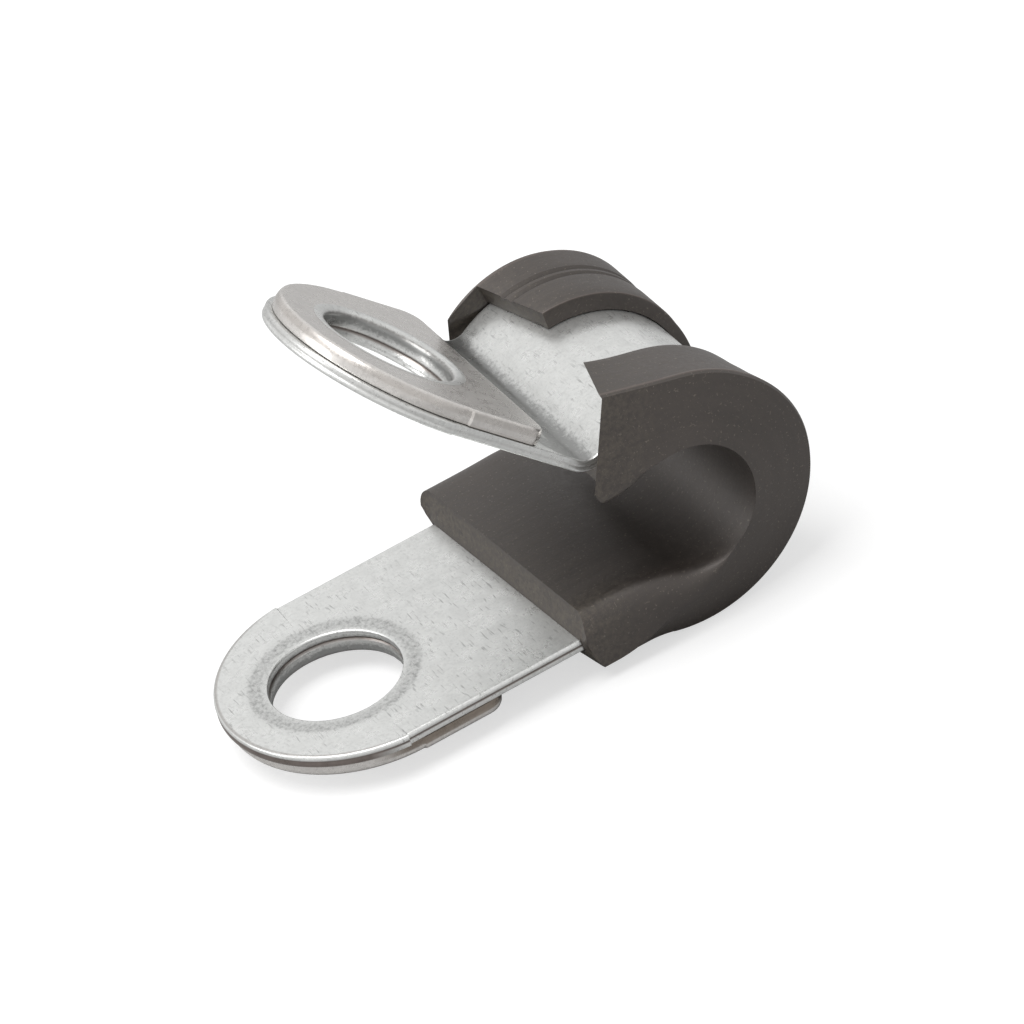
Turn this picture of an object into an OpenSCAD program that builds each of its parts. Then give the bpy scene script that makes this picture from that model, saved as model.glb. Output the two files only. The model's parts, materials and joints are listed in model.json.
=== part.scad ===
// Rubber lined P clip: a steel band bent round a cable with two bolted tabs.
// X runs from the lower tab's hole to the loop, Y across the band, Z up.
// The origin is on the lower hole's axis, at the back of the lower plate, which is bolted down.

/* [Band] */
// Width of the band
band_w = 13; // [10:0.5:20]
// Thickness of the band
band_t = 0.6; // [0.4:0.05:1]
// How far the rounded tip stands out beyond the straight sides
tip_ear = 0.15; // [0:0.05:0.4]
// Distance from the hole back to the centre of the rounded tip
tip_shift = 1; // [0:0.1:2]

/* [Bolt holes] */
// Diameter of the bolt hole in each tab
hole_d = 6.4; // [4.5:0.1:7]
// Width of the smooth funnel where the band turns down into the hole
funnel_w = 1; // [0.6:0.1:1.2]
// Wall of the collar that passes through the reinforcing plate
collar_wall = 0.45; // [0.3:0.05:0.6]
// How far the collar is spread over the back of the plate
flare_w = 0.3; // [0.2:0.05:0.8]
// How far the spread collar stands off the plate
flare_t = 0.25; // [0.15:0.05:0.4]

/* [Reinforcing plates] */
// Thickness of each reinforcing plate
plate_t = 0.8; // [0.5:0.05:1.5]
// How far the plate's rounded end stays inside the band's
plate_inset = 0.25; // [0.1:0.05:0.5]
// Distance from the hole to the plate's square end
plate_reach = 5.5; // [5:0.1:6.5]
// Radius of the corners at the square end
plate_corner = 1; // [0.3:0.1:2]
// Gap between the collar and the hole in the plate
plate_fit = 0.05; // [0.02:0.01:0.15]

/* [Loop] */
// Diameter that the cable has inside the liner
bore_d = 6.8; // [5:0.2:16]
// Length of the flat lower tab, from the hole to where it dips
straight_l = 12.7; // [11:0.1:18]
// How far the loop hangs below the lower tab
loop_drop = 0.5; // [0.2:0.05:0.8]
// Radius of the dip that leads from the tab into the loop
dip_r = 6.5; // [3:0.5:12]
// Angle round the loop at which the band turns out into the upper tab
arch_end = 123; // [115:1:135]

/* [Upper tab] */
// Angle at which the sprung upper tab stands above the lower one
open_angle = 45; // [30:1:60]
// Inner radius of the sharp bend under the upper tab
bend_r = 0.85; // [0.6:0.05:1.5]
// Length of the flat upper tab, from the bend to the hole
upper_l = 7.6; // [7.4:0.1:12]

/* [Liner] */
// Thickness of the rubber between the band and the cable
liner_t = 1.5; // [1:0.1:2.5]
// How far the rubber stands out beyond the band at the bore
bore_overhang = 1.15; // [0.8:0.05:2]
// How far the lips' outer corners stand out beyond the band
lip_overhang = 0.2; // [0.15:0.05:0.6]
// Thickness of the lips at their outer corners
lip_t = 1.3; // [0.9:0.05:2]
// Width of the lip on the near side of the band
near_lip_w = 3.7; // [2.5:0.1:4.5]
// Thickness of the near lip at its edge
near_edge_t = 0.75; // [0.5:0.05:1.2]
// How much thicker the near lip is at the back of the loop
near_bulge = 0.15; // [0:0.05:0.3]
// How much thinner the near lip is from there on
near_thin = 0.18; // [0:0.02:0.3]
// How far the near lip's edge swings outwards at its free end
near_curl = 0.9; // [0:0.1:1.2]
// Width of the lip on the far side of the band
far_lip_w = 4.4; // [2.5:0.1:4.5]
// Thickness of the far lip at its edge
far_edge_t = 1; // [0.7:0.05:1.2]
// How much thinner the far lip is drawn where the loop is tightest
lip_squeeze = 0.8; // [0:0.05:0.8]
// Width over which the bore's edges roll down towards the liner's ends
roll_w = 1.1; // [0.6:0.1:1.6]
// Share of the flank's height by which the near edge is rolled down at the lower end
near_roll = 0.9; // [0:0.05:0.9]
// Share of the flank's height by which the far edge is rolled down at the lower end
far_roll = 0.3; // [0:0.05:0.9]
// Share of the rubber's thickness by which both edges are rolled down at the upper end
upper_roll = 0.6; // [0:0.05:0.9]
// Length of liner lying on the lower tab
liner_lap = 3.8; // [2:0.1:5]
// How far the lower end is set back at the near side
end_bow = 0.9; // [0:0.1:1.2]
// How far the lower end is rounded back at the bore
end_round = 0.45; // [0:0.05:0.6]
// Angle round the loop at which the near lip's edge leaves the band
edge_lift = 67; // [55:1:80]
// Angle round the loop at which the near lip's outer corner leaves the band and runs on straight
corner_lift = 75; // [60:1:90]
// Angle round the loop at which the near lip ends
near_lip_end = 107; // [100:1:110]
// Angle round the loop at which the far lip ends
far_lip_end = 105; // [95:1:110]
// How much sooner the far lip ends at its edge
far_lip_lead = 10; // [2:1:15]
// How much sooner the near lip ends at its edge
near_lip_lead = 5; // [2:1:15]
// Angle round the loop at which the far wall ends
wall_end = 124; // [115:1:128]
// Angle round the loop at which the layer in the bore ends
liner_end = 131; // [128:1:135]
// How much further the near edge of the bore goes on
near_tip = 8; // [0:1:9]
// How much further the far edge of the bore goes on
far_tip = 2; // [0:1:9]
// Gap between the rubber's lips and the band
liner_fit = 0.05; // [0.02:0.01:0.15]

/* [Hidden] */
$fn = 96;
hole_r = hole_d / 2;
collar_r = hole_r + collar_wall;
tip_r = band_w / 2 + tip_ear;
stack_t = band_t + plate_t;
// The rounded tip meets the straight sides here, measured from the hole
shoulder_x = tip_shift / 3;
bore_r = bore_d / 2;
// Radius of the band's inner face, which the rubber lies against
seat_r = bore_r + liner_t;
loop_z = seat_r - loop_drop;
// The dip and the loop share a tangent at this angle below the level
dip_angle = acos((loop_z + dip_r) / (seat_r + dip_r));
loop_x = straight_l + (seat_r + dip_r) * sin(dip_angle);
// The bend's axis lies outside the loop, and its seat face is a band thickness further out
bend_seat_r = bend_r + band_t;
bend_x = loop_x + (seat_r + bend_seat_r) * cos(arch_end);
bend_z = loop_z + (seat_r + bend_seat_r) * sin(arch_end);
heading = 180 - open_angle;
upper_x = bend_x + bend_seat_r * cos(180 + open_angle);
upper_z = bend_z + bend_seat_r * sin(180 + open_angle);
bore_half = band_w / 2 + bore_overhang;
lip_half = band_w / 2 + lip_overhang;
slot_half = band_w / 2 + liner_fit;
slot_v = -band_t - liner_fit;
outer_v = -band_t - lip_t;
// Shares of the flare's width and height that are left straight beside its bevelled edge
flare_edge = 0.6;
// Gap that keeps the rubber's facets off those of the band's inner face
seat_fit = 0.02;
// The seat under the liner is drawn with lines at these shares of its half width
seat_shares = [1, 0.95, 0.9, 0.8, 0.6];
// The rolled edge is drawn with lines at these places, from the crease at 1 to the bore at 0
roll_places = [1, 0.6, 0.3, 0];
// Share of the loop's height over which the far lip's squeeze fades
squeeze_fade = 0.625;
// How quickly the flank widens above the lip's corner; 1 is an even slope
flank_power = 0.35;
// The lower end's roll has faded out, and the near lip is fully thinned, at these angles round the loop
roll_end = -55;
thin_end = 50;
// Widest turn between two neighbouring stations of a route
loop_step = 5;
bend_step = 15;
// Step between the points of a funnel's rounding
funnel_step = 15;

// Distances along the band's inner face from the lower hole to the ends of its stretches
dip_end_s = straight_l + dip_r * dip_angle * PI / 180;
arch_end_s = arch_s(arch_end);
bend_end_s = arch_end_s + bend_seat_r * (arch_end - open_angle) * PI / 180;
tip_reach = tip_r - tip_shift;

// Distance along the band at which the loop has come round to an angle, and the way back
function arch_s(angle) = dip_end_s + seat_r * (angle + 90 + dip_angle) * PI / 180;
function arch_angle(s) = (s - dip_end_s) / seat_r * 180 / PI - 90 - dip_angle;

// A station [x, z, direction towards the cable] on an arc; away is 0 where the axis is outside the band
function on_arc(x, z, r, angle, away) = [x + r * cos(angle), z + r * sin(angle), angle + away];
function on_loop(s) = on_arc(loop_x, loop_z, seat_r, arch_angle(s), 180);

// The station at distance s along the band's inner face
function station(s) =
    s < straight_l ? [s, 0, 90] :
    s < dip_end_s ? on_arc(straight_l, -dip_r, dip_r, 90 - (s - straight_l) / dip_r * 180 / PI, 0) :
    s < arch_end_s ? on_loop(s) :
    s < bend_end_s ?
        on_arc(bend_x, bend_z, bend_seat_r, 180 + arch_end - (s - arch_end_s) / bend_seat_r * 180 / PI, 0) :
    [
        upper_x + (s - bend_end_s) * cos(heading),
        upper_z + (s - bend_end_s) * sin(heading),
        180 + open_angle,
    ];

// The point at height v above the band's inner face, at a station
function above(station, v) = [station[0] + v * cos(station[2]), station[1] + v * sin(station[2])];

// Even values after a, up to b, no further apart than step
function steps(a, b, step) = let (n = ceil((b - a) / step)) [for (i = [1:n]) a + (b - a) * i / n];

band_stops = concat(
    [-tip_reach, straight_l],
    steps(straight_l, dip_end_s, dip_r * loop_step * PI / 180),
    steps(dip_end_s, arch_end_s, seat_r * loop_step * PI / 180),
    steps(arch_end_s, bend_end_s, bend_seat_r * bend_step * PI / 180),
    [bend_end_s + upper_l + tip_reach]
);
band_route = [for (s = band_stops) station(s)];

// Lifts a shape from the band's own level, where the lower tab's seat face is 0, into the frame
module in_frame() translate([0, 0, stack_t]) children();

// Places a tab's children at the upper tab: local +X runs from the tip to the bend
module at_upper_tab()
    translate([upper_x, 0, upper_z]) rotate([0, -heading, 0])
        translate([upper_l, 0, 0]) mirror([1, 0, 0]) children();

// The bent strip, as wide as its rounded tips
module strip()
    rotate([90, 0, 0]) linear_extrude(2 * tip_r, center = true) polygon(concat(
        [for (s = band_route) above(s, 0)],
        [for (i = [len(band_route) - 1:-1:0]) above(band_route[i], -band_t)]
    ));

// Block round a tab's tip, as far as the shoulders; the hole is at the origin
module tip_block()
    translate([-2 * tip_r, -2 * tip_r, -2 * band_t]) cube([2 * tip_r + shoulder_x, 4 * tip_r, 4 * band_t]);

// What is cut from the strip to round a tip
module tip_waste() difference() {
    tip_block();
    translate([tip_shift, 0, -3 * band_t]) cylinder(r = tip_r, h = 6 * band_t);
}

// What is cut from the strip's edges between the two tips
module edge_waste() difference() {
    for (side = [-1, 1]) translate([-tip_r, side * (band_w + tip_r) / 2 - tip_r / 2, -tip_r])
        cube([4 * tip_r + seat_r, tip_r, 4 * tip_r + 2 * seat_r]);
    tip_block();
    at_upper_tab() tip_block();
}

// The band's metal drawn down through the plate and spread over its back, still without its hole
module collar() rotate_extrude() polygon([
    [0, -band_t / 2],
    [collar_r, -band_t / 2],
    [collar_r, -stack_t],
    [collar_r + flare_w, -stack_t],
    [collar_r + flare_w, -stack_t - flare_t * flare_edge],
    [collar_r + flare_w * flare_edge, -stack_t - flare_t],
    [0, -stack_t - flare_t],
]);

// The hole through the collar, with the smooth funnel that leads into it: a quarter ellipse,
// carried on upwards past the seat face
module funnel()
    rotate_extrude() polygon(concat(
        [
            [0, band_t],
            [hole_r + 2 * funnel_w, band_t],
            [hole_r + funnel_w * (1 + sin(funnel_step)), band_t * (1 - cos(funnel_step))],
        ],
        [for (a = [funnel_step:funnel_step:90]) [hole_r + funnel_w * (1 - sin(a)), band_t * (cos(a) - 1)]],
        [
            [hole_r, -stack_t],
            [hole_r + collar_wall / 2, -stack_t - 2 * flare_t],
            [0, -stack_t - 2 * flare_t],
        ]
    ));

// A reinforcing plate, seated on the outer face of a tab whose hole is at the origin
module plate() {
    side = band_w / 2;
    difference() {
        translate([0, 0, -stack_t]) linear_extrude(plate_t) {
            intersection() {
                translate([tip_shift, 0]) circle(tip_r - plate_inset);
                translate([tip_shift - 2 * tip_r, -tip_r]) square(2 * tip_r);
            }
            translate([tip_shift, -side]) square([plate_reach - plate_corner - tip_shift, 2 * side]);
            translate([tip_shift, plate_corner - side])
                square([plate_reach - tip_shift, 2 * (side - plate_corner)]);
            for (y = [-1, 1]) translate([plate_reach - plate_corner, y * (side - plate_corner)])
                circle(plate_corner);
        }
        translate([0, 0, -2 * stack_t]) cylinder(r = collar_r + plate_fit, h = 2 * stack_t);
    }
}

module band() color("silver") in_frame() difference() {
    union() {
        strip();
        collar();
        at_upper_tab() collar();
    }
    edge_waste();
    tip_waste();
    at_upper_tab() tip_waste();
    funnel();
    at_upper_tab() funnel();
}

module lower_reinforcing_plate() color("gainsboro") in_frame() plate();

module upper_reinforcing_plate() color("gainsboro") in_frame() at_upper_tab() plate();

// The liner is a channel drawn along the band. Lines run along it: an outer chain from the near
// lip's edge over the bore to the far lip's edge, and an inner chain that follows the band.
// side is -1 on the near side and 1 on the far side.

// A value that goes smoothly from 0 at a to 1 at b
function ease(s, a, b) = let (t = min(1, max(0, (s - a) / (b - a)))) t * t * (3 - 2 * t);

// Height of the crease between flank and bore: level round the loop, rolled down at both ends
function crease_v(side, s) = liner_t
    - (side < 0 ? near_roll : far_roll) * (liner_t - outer_v)
        * (1 - ease(s, straight_l - liner_lap / 2, arch_s(roll_end)))
    - upper_roll * liner_t * pow(min(1, max(0, (arch_angle(s) - 90) / (liner_end - 90))), 2);

// Half width of the flank at a height v
function flank(v) =
    lip_half + (bore_half - lip_half) * pow((v - outer_v) / (liner_t - outer_v), flank_power);

// How far a lip that leaves the band at an angle and runs on straight has risen at s
function rise(s, angle) = (seat_r - outer_v) * (1 / cos(min(60, max(0, arch_angle(s) - angle))) - 1);

// How much the far lip is thinner, and the near lip thicker, at s
function squeeze(s) =
    s < dip_end_s ? 0 : lip_squeeze * min(1, (1 - abs(sin(arch_angle(s)))) / squeeze_fade);
function swell(s) = s < dip_end_s ? 0 :
    near_bulge * pow(cos(arch_angle(s)), 2) - near_thin * ease(arch_angle(s), 0, thin_end);

// How far below the band's inner face a lip's outer corner, edge and underside lie
function corner_depth(side, s) = -outer_v + (side < 0 ? swell(s) + rise(s, corner_lift) : -squeeze(s));
function edge_depth(side, s) = band_t
    + (side < 0 ? near_edge_t + rise(s, edge_lift) : far_edge_t - squeeze(s) / 2);
function under_depth(side, s) = -slot_v + (side < 0 ? rise(s, edge_lift) : 0);

// Distance of a lip's edge from the middle of the band
function edge_y(side, s) = lip_half
    - (side < 0 ? near_lip_w - near_curl * ease(arch_angle(s), edge_lift, near_lip_end) : far_lip_w);

// A point of the rolled edge, a curve from the bore over a control point to the crease
function roll(side, s, t) = let (
    v = crease_v(side, s),
    crease = [flank(v), v],
    bore = [crease[0] - roll_w, liner_t],
    control = [crease[0] + roll_w / 5, liner_t]
) (1 - t) * (1 - t) * bore + 2 * t * (1 - t) * control + t * t * crease;

// The places [y, v] at s of the lines of one side, from a lip's edge to the middle
function outer_places(side, s) = concat(
    [
        [edge_y(side, s), -edge_depth(side, s)],
        [lip_half - lip_overhang, -corner_depth(side, s)],
        [lip_half, -corner_depth(side, s) + lip_overhang / 2],
    ],
    [for (t = roll_places) roll(side, s, t)]
);
function inner_places(side, s) = concat(
    [
        [edge_y(side, s), -under_depth(side, s)],
        [slot_half, slot_v - (side < 0 ? rise(s, corner_lift) : 0)],
    ],
    [for (k = seat_shares) [k * slot_half, seat_fit]]
);

// The angles round the loop at which those lines end
function lip_ends(side) =
    side < 0 ? [near_lip_end - near_lip_lead, near_lip_end] : [far_lip_end - far_lip_lead, far_lip_end];
function outer_ends(side) = concat(
    lip_ends(side),
    [side < 0 ? near_lip_end : wall_end],
    [for (t = roll_places) liner_end + t * (side < 0 ? near_tip : far_tip)]
);
function inner_ends(side) = concat(
    lip_ends(side),
    [for (k = seat_shares) k == 1 ? (wall_end + liner_end) / 2 : liner_end]
);

// Where a line starts on the lower tab, from its place in the section there
function line_start(side, q) = straight_l - liner_lap
    + (side < 0 ? end_bow * pow(q[0] / bore_half, 2) : 0) + end_round * pow(q[1] / liner_t, 2);

// The stops of one line, as many for every line, and the line's points in the frame
stops_n = ceil((liner_end + near_tip + 90 + dip_angle) / loop_step) + ceil(liner_lap);
function line_points(side, chain, i) =
    let (
        at = function (s) chain == 0 ? outer_places(side, s)[i] : inner_places(side, s)[i],
        start = line_start(side, at(straight_l - liner_lap)),
        end = arch_s((chain == 0 ? outer_ends(side) : inner_ends(side))[i])
    )
    [for (k = [0:stops_n]) let (
        s = start + (end - start) * k / stops_n,
        q = at(s),
        p = above(s < dip_end_s ? station(s) : on_loop(s), q[1])
    ) [p[0], side * q[0], p[1]]];

// Two triangles for the patch between four points
function patch(a, b, c, d) = [[a, b, c], [a, c, d]];

module liner() color([0.2, 0.19, 0.18]) in_frame() {
    n = len(outer_ends(1));
    ladder = 2 * n;
    lines = concat(
        [for (i = [0:n - 1]) line_points(-1, 0, i)],
        [for (i = [n - 1:-1:0]) line_points(1, 0, i)],
        [for (i = [0:n - 1]) line_points(1, 1, i)],
        [for (i = [n - 1:-1:0]) line_points(-1, 1, i)]
    );
    count = len(lines);
    rows = stops_n + 1;
    polyhedron(
        points = [for (line = lines) each line],
        faces = concat(
            [for (j = [0:count - 1], k = [0:rows - 2]) let (m = (j + 1) % count)
                each patch(j * rows + k, j * rows + k + 1, m * rows + k + 1, m * rows + k)],
            [for (j = [0:ladder - 2]) let (o = count - 1 - j)
                each patch(j * rows, (j + 1) * rows, (o - 1) * rows, o * rows)],
            [for (j = [0:ladder - 2]) let (o = count - 1 - j, z = rows - 1)
                each patch(o * rows + z, (o - 1) * rows + z, (j + 1) * rows + z, j * rows + z)]
        )
    );
}

band();
lower_reinforcing_plate();
upper_reinforcing_plate();
liner();
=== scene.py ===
"""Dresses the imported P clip: the steel band, its two reinforcing plates and the rubber liner."""

import json
import math

import bmesh
import bpy
from mathutils import Matrix, Vector, noise


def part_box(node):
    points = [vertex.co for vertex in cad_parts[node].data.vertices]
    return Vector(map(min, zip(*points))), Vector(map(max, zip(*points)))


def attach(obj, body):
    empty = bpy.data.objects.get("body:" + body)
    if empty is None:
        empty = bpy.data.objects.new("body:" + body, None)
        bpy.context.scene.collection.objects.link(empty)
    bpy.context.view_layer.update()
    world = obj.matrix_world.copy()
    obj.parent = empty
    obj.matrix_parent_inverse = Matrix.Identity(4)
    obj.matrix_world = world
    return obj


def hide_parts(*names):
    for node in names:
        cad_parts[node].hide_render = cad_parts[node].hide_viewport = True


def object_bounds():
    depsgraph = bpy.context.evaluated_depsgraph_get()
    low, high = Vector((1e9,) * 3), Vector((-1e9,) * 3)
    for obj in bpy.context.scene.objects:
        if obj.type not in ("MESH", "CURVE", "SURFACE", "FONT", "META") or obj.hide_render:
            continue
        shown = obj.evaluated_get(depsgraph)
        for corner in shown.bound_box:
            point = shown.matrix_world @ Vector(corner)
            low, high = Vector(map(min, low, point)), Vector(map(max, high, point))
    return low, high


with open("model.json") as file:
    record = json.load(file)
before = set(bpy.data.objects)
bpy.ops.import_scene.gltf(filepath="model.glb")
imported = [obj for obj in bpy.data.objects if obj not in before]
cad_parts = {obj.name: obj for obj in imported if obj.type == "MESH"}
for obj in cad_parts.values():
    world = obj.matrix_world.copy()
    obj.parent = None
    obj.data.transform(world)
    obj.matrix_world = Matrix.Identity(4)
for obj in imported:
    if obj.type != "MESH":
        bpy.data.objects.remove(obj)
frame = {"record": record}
CAD_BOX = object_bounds()

MM = 0.001
RECORD = frame["record"]
MOUNTS = {m["name"]: m for m in RECORD["mounts"]}

# The clip's sizes in mm, as its solids have them
HOLE_R = MOUNTS["lower_bolt_hole"]["dims"]["r_mm"]
BAND_HALF = 6.5
BAND_T = 0.6
PLATE_T = 0.8
STACK_T = BAND_T + PLATE_T
TIP_SHIFT = 1.0
TIP_R = 6.65
SHOULDER = TIP_SHIFT / 3
COLLAR_R = HOLE_R + 0.45
FUNNEL_W = 1.0
PLATE_REACH = 5.5
PLATE_CORNER = 1.0
STRAIGHT_L = 12.7
UPPER_L = 7.6
DIP_R = 6.5
SEAT_R = 4.9
BEND_R = 1.45
ARCH_END = 123.0
OPEN_ANGLE = 45.0
DIP = math.degrees(math.acos((SEAT_R - 0.5 + DIP_R) / (SEAT_R + DIP_R)))

# The band's inner face as stretches of (length, curvature)
STRETCHES = (
    (STRAIGHT_L, 0.0),
    (DIP_R * math.radians(DIP), -1 / DIP_R),
    (SEAT_R * math.radians(90 + DIP + ARCH_END), 1 / SEAT_R),
    (BEND_R * math.radians(ARCH_END - OPEN_ANGLE), -1 / BEND_R),
    (4 * UPPER_L, 0.0),
)
ARCH_START_S = STRETCHES[0][0] + STRETCHES[1][0]
ARCH_END_S = ARCH_START_S + STRETCHES[2][0]
UPPER_HOLE_S = ARCH_END_S + STRETCHES[3][0] + UPPER_L


def arch_s(angle):
    """Distance along the band at which the loop has come round to an angle."""
    return ARCH_START_S + SEAT_R * math.radians(angle + 90 + DIP)


def place(s, y, v):
    """The point at distance s along the band, y across it and v above its inner face."""
    x, z, heading = 0.0, 0.0, 0.0
    if s < 0:
        x, s = s, 0.0
    for length, curve in STRETCHES:
        step = min(s, length)
        if curve:
            turned = heading + curve * step
            x += (math.sin(turned) - math.sin(heading)) / curve
            z += (math.cos(heading) - math.cos(turned)) / curve
            heading = turned
        else:
            x += step * math.cos(heading)
            z += step * math.sin(heading)
        s -= step
        if s <= 0:
            break
    x -= v * math.sin(heading)
    z += v * math.cos(heading)
    return Vector((x * MM, y * MM, (z + STACK_T) * MM))


def on_lower(d, y, v):
    """A point of the lower tab, d from its hole towards the loop."""
    return place(d, y, v)


def on_upper(d, y, v):
    """A point of the upper tab, d from its hole towards the loop."""
    return place(UPPER_HOLE_S - d, y, v)


def spread(a, b, n):
    """n + 1 even values from a to b."""
    return [a + (b - a) * i / n for i in range(n + 1)]


# ------------------------------------------------------------------ meshes


class Shape:
    """Points with a darkening value and a ring value each, and the faces between them; both values carry painted
    shade and highlight in places.
    """

    def __init__(self):
        self.points, self.wear, self.ring, self.faces = [], [], [], []

    def add(self, point, wear=0.0, ring=0.0):
        self.points.append(point)
        self.wear.append(wear)
        self.ring.append(ring)
        return len(self.points) - 1

    def quad(self, *corners):
        if len(set(corners)) > 2:
            self.faces.append(corners)

    def join(self, first, second, closed=False):
        """Faces between two rows of points of the same length."""
        n = len(first)
        for i in range(n if closed else n - 1):
            j = (i + 1) % n
            self.quad(first[i], first[j], second[j], second[i])

    def build(self, name, material, node, sharp=38):
        mesh = bpy.data.meshes.new(name)
        mesh.from_pydata([tuple(p) for p in self.points], [], self.faces)
        for attribute, values in (("wear", self.wear), ("ring", self.ring)):
            mesh.attributes.new(attribute, "FLOAT", "POINT").data.foreach_set("value", values)
        bm = bmesh.new()
        bm.from_mesh(mesh)
        bmesh.ops.remove_doubles(bm, verts=bm.verts, dist=2e-7)
        bmesh.ops.triangulate(bm, faces=[f for f in bm.faces if len(f.verts) > 4])
        bmesh.ops.recalc_face_normals(bm, faces=bm.faces)
        for face in bm.faces:
            face.smooth = True
        for edge in bm.edges:
            edge.smooth = len(edge.link_faces) == 2 and edge.calc_face_angle(0) < math.radians(sharp)
        bm.to_mesh(mesh)
        bm.free()
        mesh.materials.append(material)
        piece = bpy.data.objects.new(name, mesh)
        bpy.context.scene.collection.objects.link(piece)
        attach(piece, "root")
        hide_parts(node)
        return piece


# ------------------------------------------------------------------ band

CUT = 6.8
CUT_STEPS = 10
TOP_R = 0.16
LOW_R = 0.08
# Side of the strip from its inner face down: (inset, v, painted shade along the straight sides, painted shade round
# the tip)
EDGE = (
    (TOP_R + 0.08, 0.0, 0.0, 0.0),
    # Painted shade round the tip: a thin dark line under the top rounding, then the lower part of the edge dark as
    # shade in the gap to the plate.
    (TOP_R, 0.0, 0.0, 0.45),
    (TOP_R * 0.62, -TOP_R * 0.08, 0.0, 0.5),
    (TOP_R * 0.29, -TOP_R * 0.29, 0.0, 0.0),
    (TOP_R * 0.08, -TOP_R * 0.62, 0.0, 0.0),
    (0.0, -TOP_R, 0.0, 0.0),
    # Painted shade along the straight sides: a dark line in the groove at v -0.26 to -0.32.
    (0.0, -0.21, 0.2, 0.3),
    (0.03, -0.26, 1.0, 1.0),
    (0.03, -0.32, 1.0, 1.0),
    (0.0, -0.37, 0.1, 1.0),
    (0.0, -0.52, 0.0, 1.0),
    (LOW_R * 0.3, -BAND_T + LOW_R * 0.3, 0.2, 0.9),
    (LOW_R, -BAND_T, 0.4, 0.8),
    (LOW_R + 0.08, -BAND_T, 0.0, 0.0),
)


def tip_share(d):
    """1 round a tab's tip and 0 along its straight sides."""
    return min(1.0, max(0.0, (SHOULDER - 0.2 - d) / 1.6))


def tab_outline():
    """Columns (d, y, outward d, outward y, on the cut) round a tab, from one end of the cut."""
    columns = [(CUT, y, 0.0, 0.0, True) for y in spread(-BAND_HALF, BAND_HALF, CUT_STEPS)[1:-1]]
    columns += [(d, BAND_HALF, 0.0, 1.0, False) for d in spread(CUT, SHOULDER, 8)]
    ear = math.acos((SHOULDER - TIP_SHIFT) / TIP_R)
    for a in spread(ear, 2 * math.pi - ear, 72):
        out = (math.cos(a), math.sin(a))
        columns.append((TIP_SHIFT + TIP_R * out[0], TIP_R * out[1], out[0], out[1], False))
    columns += [(d, -BAND_HALF, 0.0, -1.0, False) for d in spread(SHOULDER, CUT, 8)]
    return columns


# Round a hole, from the flat inner face over the coined ring and down the wall: (radius, v, darkening, ring)
HOLE_ROWS = (
    (HOLE_R + FUNNEL_W + 0.3, 0.0, 0.0, 0.0),
    (HOLE_R + FUNNEL_W, 0.0, 0.0, 0.15),
    (HOLE_R + FUNNEL_W - 0.2, -0.02, 0.0, 0.4),
    (HOLE_R + 0.35, -0.05, 0.0, 0.35),
    (HOLE_R + 0.1, -0.06, 0.0, 0.2),
    (HOLE_R + 0.04, -0.08, 0.0, 0.0),
    (HOLE_R + 0.01, -0.12, 0.0, 0.0),
    (HOLE_R, -0.18, 0.0, 0.0),
    (HOLE_R + 0.02, -0.42, 0.0, 0.4),
    # Painted shadow: a dark line in the gap between band and plate inside the hole.
    (HOLE_R + 0.09, -0.5, 0.8, 0.0),
    (HOLE_R + 0.1, -0.57, 1.0, 0.0),
    (HOLE_R + 0.04, -0.63, 0.7, 0.0),
    (HOLE_R, -0.7, 0.1, 0.0),
    (HOLE_R, -0.95, 0.0, 0.7),
    (HOLE_R, -1.14, 0.0, 0.9),
    (HOLE_R + 0.05, -1.26, 0.3, 0.6),
    (HOLE_R + 0.13, -1.34, 0.1, 0.1),
    (HOLE_R + 0.25, -1.38, 0.0, 0.0),
    (HOLE_R + 0.4, -STACK_T - 0.01, 0.0, 0.0),
    (COLLAR_R + 0.06, -STACK_T - 0.03, 0.0, 0.0),
    (COLLAR_R + 0.14, -STACK_T - 0.02, 0.1, 0.0),
    (COLLAR_R + 0.16, -STACK_T - 0.005, 0.3, 0.0),
    (COLLAR_R, -STACK_T - 0.005, 0.3, 0.0),
    (COLLAR_R, -BAND_T, 0.0, 0.0),
)


def add_tab(shape, at, worn_and_shaded):
    columns = tab_outline()
    angles = [math.atan2(y, d) for d, y, _, _, _ in columns]
    rings = [[shape.add(at(r * math.cos(a), r * math.sin(a), v), wear, ring) for a in angles]
             for r, v, wear, ring in HOLE_ROWS]
    for first, second in zip(rings, rings[1:]):
        shape.join(first, second, closed=True)
    rows = []
    for inset, v, straight, tip in EDGE:
        row = []
        for d, y, out_d, out_y, cut in columns:
            if cut:
                y *= (BAND_HALF - inset) / BAND_HALF
            wear = worn_and_shaded * (straight + (tip - straight) * tip_share(d))
            row.append(shape.add(at(d - inset * out_d, y - inset * out_y, v), wear))
        rows.append(row)
    shape.join(rings[0], rows[0], closed=True)
    shape.join(rows[-1], rings[-1], closed=True)
    edge_columns = [i for i, c in enumerate(columns) if not c[4]]
    for first, second in zip(rows, rows[1:]):
        shape.join([first[i] for i in edge_columns], [second[i] for i in edge_columns])


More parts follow.
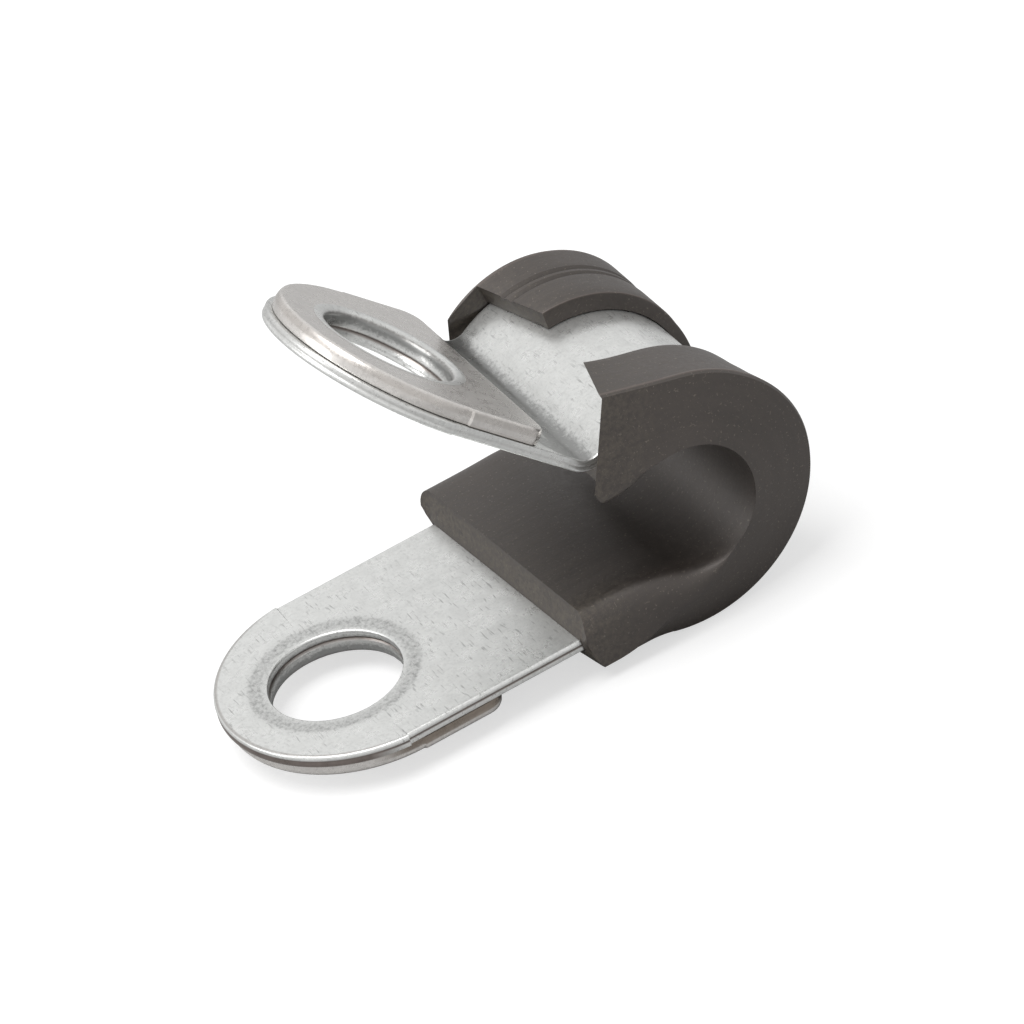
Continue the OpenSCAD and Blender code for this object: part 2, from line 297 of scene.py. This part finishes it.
def add_strip(shape):
    """The strip between the two tabs."""
    stations = spread(CUT, STRAIGHT_L, 6) + spread(STRAIGHT_L, ARCH_START_S, 8)[1:]
    stations += spread(ARCH_START_S, ARCH_END_S, 96)[1:]
    stations += spread(ARCH_END_S, ARCH_END_S + STRETCHES[3][0], 16)[1:]
    stations += spread(stations[-1], UPPER_HOLE_S - CUT, 3)[1:]
    top, low = BAND_HALF - EDGE[0][0], BAND_HALF - EDGE[-1][0]
    rows = []
    for s in stations:
        # The painted shade on the edges fades out along the strip past the straight run.
        worn_and_shaded = 1.0 - 0.8 * ease(s, STRAIGHT_L - 3, STRAIGHT_L)
        bend_dark = bend_darkening(s)
        section = [(y, 0.0, 0.0, 0.0) for y in spread(-top, top, CUT_STEPS)]
        section += [(BAND_HALF - inset, v, wear * worn_and_shaded, 0.0) for inset, v, wear, _ in EDGE[1:-1]]
        section += [(y, -BAND_T, 0.0, bend_dark) for y in spread(low, -low, CUT_STEPS)]
        section += [(inset - BAND_HALF, v, wear * worn_and_shaded, 0.0) for inset, v, wear, _ in reversed(EDGE[1:-1])]
        rows.append([shape.add(place(s, y, v), wear, ring) for y, v, wear, ring in section])
    for first, second in zip(rows, rows[1:]):
        shape.join(first, second, closed=True)


def bend_darkening(s):
    """The outer face is darker between the sharp bend and the upper plate's end."""
    return 0.75 * ease(s, ARCH_END_S - 0.4, ARCH_END_S + 1.2)


def make_band(material):
    shape = Shape()
    add_tab(shape, on_lower, 1.0)
    add_tab(shape, on_upper, 0.15)
    add_strip(shape)
    shape.build("band_steel_strip", material, "band")


# ------------------------------------------------------------------ plates

# Side of a plate from the face on the band down: (inset, depth, darkening along the sides and end, darkening round
# the tip)
# Lower plate: the dark upper part of the side is partly the cut edge's darker fracture zone, partly painted shade
# under the band's overhang.
LOWER_PLATE_EDGE = (
    (0.14, 0.0, 1.0, 1.0),
    (0.06, 0.05, 1.0, 1.0),
    (0.04, 0.12, 1.0, 0.7),
    (0.03, 0.2, 1.0, 0.0),
    (0.02, 0.38, 0.9, 0.0),
    (0.0, 0.44, 0.1, 0.0),
    (0.02, 0.56, 0.0, 0.0),
    (0.09, 0.69, 0.0, 0.0),
    (0.21, 0.77, 0.0, 0.0),
    (0.36, 0.8, 0.0, 0.0),
    (0.46, 0.8, 0.0, 0.0),
)
# Upper plate: painted shade at the joint with the band, and fainter painted shade lower down its side.
UPPER_PLATE_EDGE = (
    (0.08, 0.0, 0.9, 0.3),
    (0.02, 0.05, 0.3, 0.0),
    (0.0, 0.2, 0.0, 0.0),
    (0.0, 0.38, 0.0, 0.15),
    (0.01, 0.44, 0.2, 0.35),
    (0.03, 0.55, 0.25, 0.35),
    (0.07, 0.68, 0.25, 0.3),
    (0.12, 0.76, 0.1, 0.0),
    (0.2, 0.8, 0.0, 0.0),
    (0.3, 0.8, 0.0, 0.0),
)


def plate_outline():
    inner = TIP_R - 0.25
    reach = PLATE_REACH - PLATE_CORNER
    columns = [(PLATE_REACH, y, 1.0, 0.0) for y in spread(PLATE_CORNER - BAND_HALF, BAND_HALF - PLATE_CORNER, 12)]
    for side in (1, -1):
        corner = []
        for a in spread(0, 90, 8):
            out = (math.cos(math.radians(a)), side * math.sin(math.radians(a)))
            corner.append((reach + PLATE_CORNER * out[0], side * (BAND_HALF - PLATE_CORNER) + PLATE_CORNER * out[1],
                           out[0], out[1]))
        sides = [(d, side * BAND_HALF, 0.0, float(side)) for d in spread(reach, TIP_SHIFT + 0.1, 6)[1:]]
        quarter = []
        for a in spread(90, 180, 36):
            out = (math.cos(math.radians(a)), side * math.sin(math.radians(a)))
            quarter.append((TIP_SHIFT + inner * out[0], inner * out[1], out[0], out[1]))
        run = corner[1:] + sides + quarter
        columns += run if side > 0 else list(reversed(run))[1:]
    return columns[:-1] if columns[-1][:2] == columns[0][:2] else columns


def make_plate(name, at, material, node, edge):
    shape = Shape()
    columns = plate_outline()
    angles = [math.atan2(y, d) for d, y, _, _ in columns]

    def ring(r, v, wear):
        return [shape.add(at(r * math.cos(a), r * math.sin(a), v), wear) for a in angles]

    hole = COLLAR_R + 0.05
    rows = [ring(hole, -BAND_T - 0.01, 0.0)]
    for inset, depth, straight, tip in edge:
        rows.append([shape.add(at(d - inset * a, y - inset * b, -BAND_T - max(depth, 0.01)),
                               straight + (tip - straight) * tip_share(d)) for d, y, a, b in columns])
    rows.append(ring(hole + 0.9, -STACK_T, 0.0))
    rows.append(ring(hole, -STACK_T, 0.0))
    for first, second in zip(rows, rows[1:] + rows[:1]):
        shape.join(first, second, closed=True)
    shape.build(name, material, node)


# ------------------------------------------------------------------ liner

# The liner's sizes in mm and angles round the loop, as its solid has them
LINER_T = 1.5
LIP_HALF = BAND_HALF + 0.2
BORE_HALF = BAND_HALF + 1.15
SLOT_HALF = BAND_HALF + 0.05
SLOT_V = -BAND_T - 0.05
OUTER_V = -BAND_T - 1.3
LINER_START = STRAIGHT_L - 3.8
LINER_END = 131.0
EDGE_LIFT = 67.0
CORNER_LIFT = 75.0
LIP_ENDS = {-1: (102.0, 107.0), 1: (95.0, 105.0)}
WALL_ENDS = {-1: 107.0, 1: 124.0}
TIPS = {-1: 8.0, 1: 2.0}
ROLLS = {-1: 0.9, 1: 0.3}
ROLL_W = 1.1
STOPS = 180
ROLL_PLACES = (1.0, 0.86, 0.72, 0.6, 0.48, 0.36, 0.24, 0.12, 0.0)
FLANK_STEPS = 8
BORE_STEPS = 7
# Across a lip from its edge to its corner: (share of the width, depth of a groove)
NEAR_FACE = ((0.12, 0.0), (0.3, 0.015), (0.5, 0.0), (0.7, 0.015), (0.88, 0.0), (0.95, 0.0))
FAR_FACE = ((0.2, 0.0), (0.4, 0.0), (0.45, 0.02), (0.49, 0.17), (0.53, 0.03), (0.57, 0.03), (0.61, 0.17),
            (0.65, 0.02), (0.72, 0.0), (0.88, 0.0), (0.95, 0.0))
# The visual stays this much inside the solid's curves
SKIN = 0.012


def ease(x, a, b):
    """A value that goes smoothly from 0 at a to 1 at b."""
    t = min(1.0, max(0.0, (x - a) / (b - a)))
    return t * t * (3 - 2 * t)


def loop_angle(s):
    return math.degrees((s - ARCH_START_S) / SEAT_R) - 90 - DIP


def crease_v(side, s):
    down = ROLLS[side] * (LINER_T - OUTER_V) * (1 - ease(s, LINER_START + 1.9, arch_s(-55)))
    up = min(1.0, max(0.0, (loop_angle(s) - 90) / (LINER_END - 90)))
    return LINER_T - down - 0.6 * LINER_T * up * up


def flank_y(v):
    return LIP_HALF + (BORE_HALF - LIP_HALF) * ((v - OUTER_V) / (LINER_T - OUTER_V)) ** 0.35


def rise(s, angle):
    """How far a lip that leaves the band at an angle and runs on straight has risen."""
    over = min(60.0, max(0.0, loop_angle(s) - angle))
    return (SEAT_R - OUTER_V) * (1 / math.cos(math.radians(over)) - 1)


def squeeze(s):
    if s < ARCH_START_S:
        return 0.0
    return 0.8 * min(1.0, (1 - abs(math.sin(math.radians(loop_angle(s))))) / 0.625)


def swell(s):
    if s < ARCH_START_S:
        return 0.0
    angle = loop_angle(s)
    return 0.15 * math.cos(math.radians(angle)) ** 2 - 0.18 * ease(angle, 0, 50)


def corner_depth(side, s):
    return -OUTER_V - SKIN + (swell(s) + rise(s, CORNER_LIFT) if side < 0 else -squeeze(s))


def edge_depth(side, s):
    return BAND_T + (0.75 + rise(s, EDGE_LIFT) if side < 0 else 1 - squeeze(s) / 2)


def edge_y(side, s):
    if side > 0:
        return LIP_HALF - 4.4
    return LIP_HALF - 3.7 + 0.9 * ease(loop_angle(s), EDGE_LIFT, LIP_ENDS[-1][1])


def roll(side, s, t):
    """A point of the rolled edge, from the bore at t = 0 to the crease at 1."""
    v = crease_v(side, s)
    y = flank_y(v) - SKIN
    across = (1 - t) ** 2 * (y - ROLL_W) + 2 * t * (1 - t) * (y + ROLL_W / 5) + t * t * y
    return min(across, BORE_HALF - SKIN), (1 - t * t) * LINER_T + t * t * v


def outer_places(side, s):
    corner = -corner_depth(side, s)
    return [(edge_y(side, s), -edge_depth(side, s)), (LIP_HALF - 0.2, corner), (LIP_HALF - SKIN, corner + 0.1)] + [
        roll(side, s, t) for t in ROLL_PLACES]


def inner_places(side, s):
    lifted = side < 0
    return [(edge_y(side, s), SLOT_V - (rise(s, EDGE_LIFT) if lifted else 0)),
            (SLOT_HALF, SLOT_V - (rise(s, CORNER_LIFT) if lifted else 0)), (SLOT_HALF, 0.01)]


def run(side, places, i, end):
    """The points of one line along the liner, from its lower end to an angle round the loop."""
    y, v = places(side, LINER_START)[i]
    start = LINER_START + (0.9 * (y / BORE_HALF) ** 2 if side < 0 else 0) + 0.45 * (v / LINER_T) ** 2
    points = []
    for s in spread(start, arch_s(end), STOPS):
        y, v = places(side, s)[i]
        points.append(place(s, side * y, v))
    return points


def between(first, second, t):
    return [a.lerp(b, t) for a, b in zip(first, second)]


def sunk(points, towards, depth):
    """A line's points moved by a depth in mm towards another line's."""
    return [p + (q - p).normalized() * depth * MM for p, q in zip(points, towards)]


def lip_face(edge, corner, under, rows):
    """Lines across a lip's face, with its edge rounded and its grooves sunk."""
    width = sum((a - b).length for a, b in zip(edge, corner)) / len(edge) / MM
    low = sunk(edge, under, 0.1)
    inward = sunk(edge, corner, 0.1)
    lines = [low, between(between(low, inward, 0.5), edge, 0.5), inward]
    for share, depth in rows:
        line = between(edge, corner, share)
        if depth:
            line = sunk(line, between(under, [p + (u - e) for p, u, e in zip(corner, under, edge)], share), depth)
        lines.append(line)
    return lines


def side_lines(side):
    """The outer and inner lines of one side, in step, from the lip's edge to the middle of the band."""
    edge_end, corner_end = LIP_ENDS[side]
    wall_end = WALL_ENDS[side]
    ends = [edge_end, corner_end, wall_end] + [LINER_END + t * TIPS[side] for t in ROLL_PLACES]
    edge, corner, shoulder, *rolled = [run(side, outer_places, i, end) for i, end in enumerate(ends)]
    under, slot, seat = [run(side, inner_places, i, end) for i, end in enumerate((edge_end, corner_end, 127.5))]
    outer = lip_face(edge, corner, under, NEAR_FACE if side < 0 else FAR_FACE)
    inner = [between(under, slot, i / len(outer) * 0.97) for i in range(len(outer))]
    outer.append(corner)
    inner.append(slot)
    wall = [between(corner, shoulder, 0.5), shoulder]
    wall += [between(shoulder, rolled[0], i / FLANK_STEPS) for i in range(1, FLANK_STEPS)]
    wall += rolled
    outer += wall
    inner += [between(slot, seat, (i + 1) / len(wall)) for i in range(len(wall))]
    return outer, inner


def bore_lines(near, far, steps):
    return [between(near, far, i / steps) for i in range(1, steps)]


def add_end(shape, outer, inner, outward, dust, steps=5):
    """Closes an end between the outer and inner lines' last points, a little rough and crowned."""
    rows = [outer]
    for i in range(1, steps):
        t = i / steps
        row = []
        for a, b in zip(outer, inner):
            p, q = shape.points[a], shape.points[b]
            point = p.lerp(q, t)
            swing = noise.noise(point * 1400) * 0.05 * 4 * t * (1 - t) * min(1.0, (p - q).length / (0.6 * MM))
            row.append(shape.add(point + outward * swing * MM, dust))
        rows.append(row)
    rows.append(inner)
    for first, second in zip(rows, rows[1:]):
        shape.join(first, second)


def dust_at(i, v_share):
    """Dust on the rolled edge near both ends of the liner."""
    low = max(0.0, 1 - i / (0.12 * STOPS))
    high = max(0.0, 1 - (STOPS - i) / (0.1 * STOPS))
    return min(1.0, 0.08 + 0.5 * max(low, high) * v_share)


def line_painted_light(i, face):
    """Painted highlight (1) on a lip's edge and corner lines, painted shade (-1) in its deep grooves."""
    if i in (1, len(face) + 3):
        return 1.0
    return -1.0 if 3 <= i < len(face) + 3 and face[i - 3][1] > 0.1 else 0.0


def make_liner(material):
    shape = Shape()
    near_outer, near_inner = side_lines(-1)
    far_outer, far_inner = side_lines(1)
    bore = bore_lines(near_outer[-1], far_outer[-1], 2 * BORE_STEPS)
    seat = bore_lines(near_inner[-1], far_inner[-1], 2 * BORE_STEPS)
    outer = near_outer + bore + far_outer[::-1]
    inner = near_inner + seat + far_inner[::-1]

    # Per line: painted highlight on lip edges and corners, painted shade in deep grooves, none on the bore.
    line_painted_lights = [line_painted_light(i, NEAR_FACE) for i in range(len(near_outer))] + [0.0] * len(bore)
    line_painted_lights += [line_painted_light(i, FAR_FACE) for i in reversed(range(len(far_outer)))]

    def add_line(points, dusty, painted_light):
        return [shape.add(p, dust_at(i, dusty), painted_light) for i, p in enumerate(points)]

    rolled = len(ROLL_PLACES)
    near_roll = range(len(near_outer) - rolled - FLANK_STEPS, len(near_outer))
    outer_rows = [add_line(line, 0.8 if i in near_roll else 0.2, line_painted_lights[i]) for i, line in enumerate(outer)]
    inner_rows = [add_line(line, 0.0, 0.0) for line in inner]
    loop = outer_rows + inner_rows[::-1]
    for first, second in zip(loop, loop[1:] + loop[:1]):
        shape.join(first, second)
    add_end(shape, [row[0] for row in outer_rows], [row[0] for row in inner_rows], Vector((-1, 0, 0)), 0.55)
    add_end(shape, [row[-1] for row in outer_rows], [row[-1] for row in inner_rows], Vector((-0.6, 0, -0.8)), 0.5)
    shape.build("liner_rubber_channel", material, "liner", sharp=32)


# ------------------------------------------------------------------ materials


class Nodes:
    """A material's nodes, with short calls for the few kinds used here."""

    def __init__(self, name):
        self.material = bpy.data.materials.new(name)
        self.material.use_nodes = True
        self.tree = self.material.node_tree
        self.shader = self.tree.nodes["Principled BSDF"]
        self.place = self.add("ShaderNodeTexCoord").outputs["Object"]

    def add(self, kind):
        return self.tree.nodes.new(kind)

    def link(self, source, target):
        self.tree.links.new(source, target)

    def scaled(self, x, y, z):
        mapping = self.add("ShaderNodeMapping")
        mapping.inputs["Scale"].default_value = (x, y, z)
        self.link(self.place, mapping.inputs["Vector"])
        return mapping.outputs["Vector"]

    def noise(self, vector, scale, detail=4.0, rough=0.55):
        node = self.add("ShaderNodeTexNoise")
        node.inputs["Scale"].default_value = scale
        node.inputs["Detail"].default_value = detail
        node.inputs["Roughness"].default_value = rough
        self.link(vector, node.inputs["Vector"])
        return node.outputs["Fac"]

    def ramp(self, value, *stops):
        node = self.add("ShaderNodeValToRGB")
        ramp = node.color_ramp
        while len(ramp.elements) < len(stops):
            ramp.elements.new(0.5)
        for element, (position, colour) in zip(ramp.elements, stops):
            element.position = position
            if isinstance(colour, (int, float)):
                colour = (colour, colour, colour)
            element.color = (*colour, 1.0)
        self.link(value, node.inputs["Fac"])
        return node.outputs["Color"]

    def mix(self, fac, first, second, mode="MIX"):
        node = self.add("ShaderNodeMix")
        node.data_type = "RGBA"
        node.blend_type = mode
        for key, value in (("Factor", fac), ("A", first), ("B", second)):
            socket = [s for s in node.inputs if s.name == key and s.enabled][0]
            if isinstance(value, bpy.types.NodeSocket):
                self.link(value, socket)
            elif key == "Factor":
                socket.default_value = value
            else:
                socket.default_value = (*value, 1.0)
        return [s for s in node.outputs if s.enabled][0]

    def maths(self, operation, first, second):
        node = self.add("ShaderNodeMath")
        node.operation = operation
        for socket, value in zip(node.inputs, (first, second)):
            if isinstance(value, bpy.types.NodeSocket):
                self.link(value, socket)
            else:
                socket.default_value = value
        return node.outputs[0]

    def attribute(self, name):
        node = self.add("ShaderNodeAttribute")
        node.attribute_name = name
        return node.outputs["Fac"]

    def bump(self, height, strength, distance):
        node = self.add("ShaderNodeBump")
        node.inputs["Strength"].default_value = strength
        node.inputs["Distance"].default_value = distance
        self.link(height, node.inputs["Height"])
        self.link(node.outputs["Normal"], self.shader.inputs["Normal"])


def zinc(name, tint, worn_and_shaded, rough, dashes):
    """Zinc plate: finely mottled, with dark dashes across the band and a rough coined ring round the holes."""
    n = Nodes(name)
    fine = n.noise(n.place, 5200, 3, 0.7)
    mottle = n.noise(n.place, 1300, 6, 0.65)
    cloud = n.noise(n.place, 240, 3)
    colour = n.ramp(fine, (0.34, tuple(c * 0.8 for c in tint)), (0.6, tint))
    colour = n.mix(n.ramp(mottle, (0.45, 0.0), (0.75, 0.6)), colour, tuple(c * 0.76 for c in tint))
    colour = n.mix(n.ramp(cloud, (0.35, 0.0), (0.8, 0.3)), colour, tuple(c * 0.88 for c in tint))
    if dashes:
        marks = n.ramp(n.noise(n.scaled(8500, 1250, 8500), 1.0, 1.0), (0.62, 0.0), (0.74, dashes))
        patches = n.ramp(n.noise(n.place, 380, 2), (0.4, 0.15), (0.58, 1.0))
        colour = n.mix(n.maths("MULTIPLY", marks, patches), colour, tuple(c * 0.4 for c in tint))
    ragged = n.maths("ADD", fine, n.maths("MULTIPLY", n.attribute("ring"), 0.75))
    ring = n.ramp(ragged, (0.6, 0.0), (1.15, 1.0))
    colour = n.mix(ring, colour, tuple(c * 0.38 for c in tint))
    # This dark brown colour paints the darkening value: painted shade along the band's edges, in the band-plate
    # gaps and on the plates' sides, partly the plates' darker cut edges.
    worn_and_shaded_colour = n.ramp(mottle, (0.35, tuple(c * 0.75 for c in worn_and_shaded)), (0.65, worn_and_shaded))
    colour = n.mix(n.attribute("wear"), colour, worn_and_shaded_colour)
    n.link(colour, n.shader.inputs["Base Color"])
    n.shader.inputs["Metallic"].default_value = 0.75
    n.link(n.ramp(mottle, (0.25, rough - 0.05), (0.75, rough + 0.12)), n.shader.inputs["Roughness"])
    n.bump(n.maths("ADD", fine, n.maths("MULTIPLY", ring, mottle)), 0.2, 0.00002)
    return n.material


def rubber():
    """Moulded rubber: warm black, faint lines along it, painted highlights on the lips' edges, painted shade in the
    far lip's grooves, specks, dust on the cut ends.
    """
    n = Nodes("rubber")
    grain = n.noise(n.place, 4200, 6, 0.7)
    cloud = n.noise(n.place, 300, 3)
    streaks = n.noise(n.scaled(160, 5200, 160), 1.0, 3)
    painted_light = n.attribute("ring")
    colour = n.ramp(cloud, (0.3, (0.013, 0.01, 0.0085)), (0.75, (0.022, 0.017, 0.0145)))
    colour = n.mix(n.ramp(streaks, (0.35, 0.0), (0.8, 0.5)), colour, (0.04, 0.032, 0.028))
    # Painted highlight on the lips' edge and corner lines, then painted shade in the far lip's deep grooves.
    colour = n.mix(n.ramp(painted_light, (0.2, 0.0), (1.0, 0.7)), colour, (0.12, 0.095, 0.085))
    colour = n.mix(n.ramp(n.maths("MULTIPLY", painted_light, -1.0), (0.3, 0.0), (0.9, 0.9)), colour, (0.008, 0.006, 0.005))
    specks = n.ramp(n.noise(n.place, 8000, 2), (0.63, 0.0), (0.74, 0.5))
    colour = n.mix(specks, colour, (0.19, 0.165, 0.13))
    dusty = n.maths("MULTIPLY", n.attribute("wear"), n.ramp(grain, (0.4, 0.0), (0.68, 0.9)))
    colour = n.mix(dusty, colour, (0.15, 0.13, 0.095))
    n.link(colour, n.shader.inputs["Base Color"])
    n.shader.inputs["Specular IOR Level"].default_value = 0.9
    n.shader.inputs["Specular Tint"].default_value = (1.0, 0.93, 0.89, 1.0)
    n.link(n.ramp(grain, (0.3, 0.4), (0.7, 0.54)), n.shader.inputs["Roughness"])
    n.bump(n.maths("ADD", grain, n.maths("MULTIPLY", streaks, 0.5)), 0.3, 0.00003)
    return n.material


# ------------------------------------------------------------------ stage


def make_floor():
    """A pale floor under the liner. The camera sees it paler than the clip does, so its shadow stays soft."""
    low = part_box("liner")[0][2]
    mesh = bpy.data.meshes.new("floor")
    half = 0.6
    mesh.from_pydata([(-half, -half, low), (half, -half, low), (half, half, low), (-half, half, low)], [],
                     [(0, 1, 2, 3)])
    floor = bpy.data.objects.new("floor", mesh)
    bpy.context.scene.collection.objects.link(floor)
    n = Nodes("floor")
    n.shader.inputs["Base Color"].default_value = (0.62, 0.62, 0.62, 1.0)
    n.shader.inputs["Roughness"].default_value = 0.9
    glow = n.add("ShaderNodeEmission")
    glow.inputs["Color"].default_value = (1.0, 1.0, 1.0, 1.0)
    glow.inputs["Strength"].default_value = 0.62
    pale = n.add("ShaderNodeBsdfDiffuse")
    pale.inputs["Color"].default_value = (0.5, 0.5, 0.5, 1.0)
    add = n.add("ShaderNodeAddShader")
    mix = n.add("ShaderNodeMixShader")
    path = n.add("ShaderNodeLightPath")
    out = n.tree.nodes["Material Output"]
    n.link(pale.outputs[0], add.inputs[0])
    n.link(glow.outputs[0], add.inputs[1])
    n.link(path.outputs["Is Camera Ray"], mix.inputs["Fac"])
    n.link(n.shader.outputs[0], mix.inputs[1])
    n.link(add.outputs[0], mix.inputs[2])
    n.link(mix.outputs[0], out.inputs["Surface"])
    mesh.materials.append(n.material)


def make_world():
    """White where the camera and the gloss see it, dimmer as light."""
    world = bpy.data.worlds.new("studio")
    bpy.context.scene.world = world
    world.use_nodes = True
    tree = world.node_tree
    back = tree.nodes["Background"]
    back.inputs["Color"].default_value = (1.0, 1.0, 1.0, 1.0)
    back.inputs["Strength"].default_value = 0.4
    seen = tree.nodes.new("ShaderNodeBackground")
    seen.inputs["Color"].default_value = (1.0, 1.0, 1.0, 1.0)
    seen.inputs["Strength"].default_value = 1.0
    path = tree.nodes.new("ShaderNodeLightPath")
    either = tree.nodes.new("ShaderNodeMath")
    either.operation = "MAXIMUM"
    tree.links.new(path.outputs["Is Camera Ray"], either.inputs[0])
    tree.links.new(path.outputs["Is Glossy Ray"], either.inputs[1])
    mix = tree.nodes.new("ShaderNodeMixShader")
    tree.links.new(either.outputs[0], mix.inputs["Fac"])
    tree.links.new(back.outputs[0], mix.inputs[1])
    tree.links.new(seen.outputs[0], mix.inputs[2])
    tree.links.new(mix.outputs[0], tree.nodes["World Output"].inputs["Surface"])


def make_light(name, where, aim, size, power):
    data = bpy.data.lights.new(name, "AREA")
    data.shape = "DISK"
    data.size = size
    data.energy = power
    light = bpy.data.objects.new(name, data)
    light.location = where
    light.rotation_euler = (Vector(where) - Vector(aim)).to_track_quat("Z", "Y").to_euler()
    bpy.context.scene.collection.objects.link(light)


VIEW_BACK = Vector((-0.2578, -0.7617, 0.5943)).normalized()
VIEW_UP = Vector((0.45956, 0.44436, 0.76889))
VIEW_DISTANCE = 0.43333
LENS = 331.64


def make_camera():
    up = (VIEW_UP - VIEW_UP.dot(VIEW_BACK) * VIEW_BACK).normalized()
    right = up.cross(VIEW_BACK)
    still = Vector((0.004563, 0.0, STACK_T * MM))
    place_at = still + VIEW_BACK * VIEW_DISTANCE
    aim = still + right * 0.004256 + up * 0.005334
    back = (place_at - aim).normalized()
    side = up.cross(back).normalized()
    top = back.cross(side)
    data = bpy.data.cameras.new("camera")
    data.lens = LENS
    data.sensor_width = 36.0
    data.clip_start = 0.01
    data.clip_end = 10.0
    camera = bpy.data.objects.new("camera", data)
    rows = Matrix((side, top, back)).transposed().to_4x4()
    rows.translation = place_at
    camera.matrix_world = rows
    bpy.context.scene.collection.objects.link(camera)
    bpy.context.scene.camera = camera


make_camera()
make_world()
make_floor()
centre = Vector(((CAD_BOX[0][0] + CAD_BOX[1][0]) / 2, 0.0, (CAD_BOX[0][2] + CAD_BOX[1][2]) / 2))
make_light("top", (-0.08, 0.0, 0.4), centre, 0.3, 1.1)
make_light("left", (-0.30, 0.1, 0.2), centre, 0.2, 0.25)

# The third colour is the dark brown of the darkening value, mostly painted shade along edges and in gaps.
band_zinc = zinc("zinc", (0.74, 0.745, 0.73), (0.2, 0.17, 0.155), 0.27, 0.7)
plate_zinc = zinc("plate_zinc", (0.69, 0.665, 0.64), (0.26, 0.22, 0.185), 0.25, 0.0)
make_band(band_zinc)
make_plate("lower_plate_steel", on_lower, plate_zinc, "lower_reinforcing_plate", LOWER_PLATE_EDGE)
make_plate("upper_plate_steel", on_upper, plate_zinc, "upper_reinforcing_plate", UPPER_PLATE_EDGE)
make_liner(rubber())

bpy.context.scene.view_settings.view_transform = "Standard"
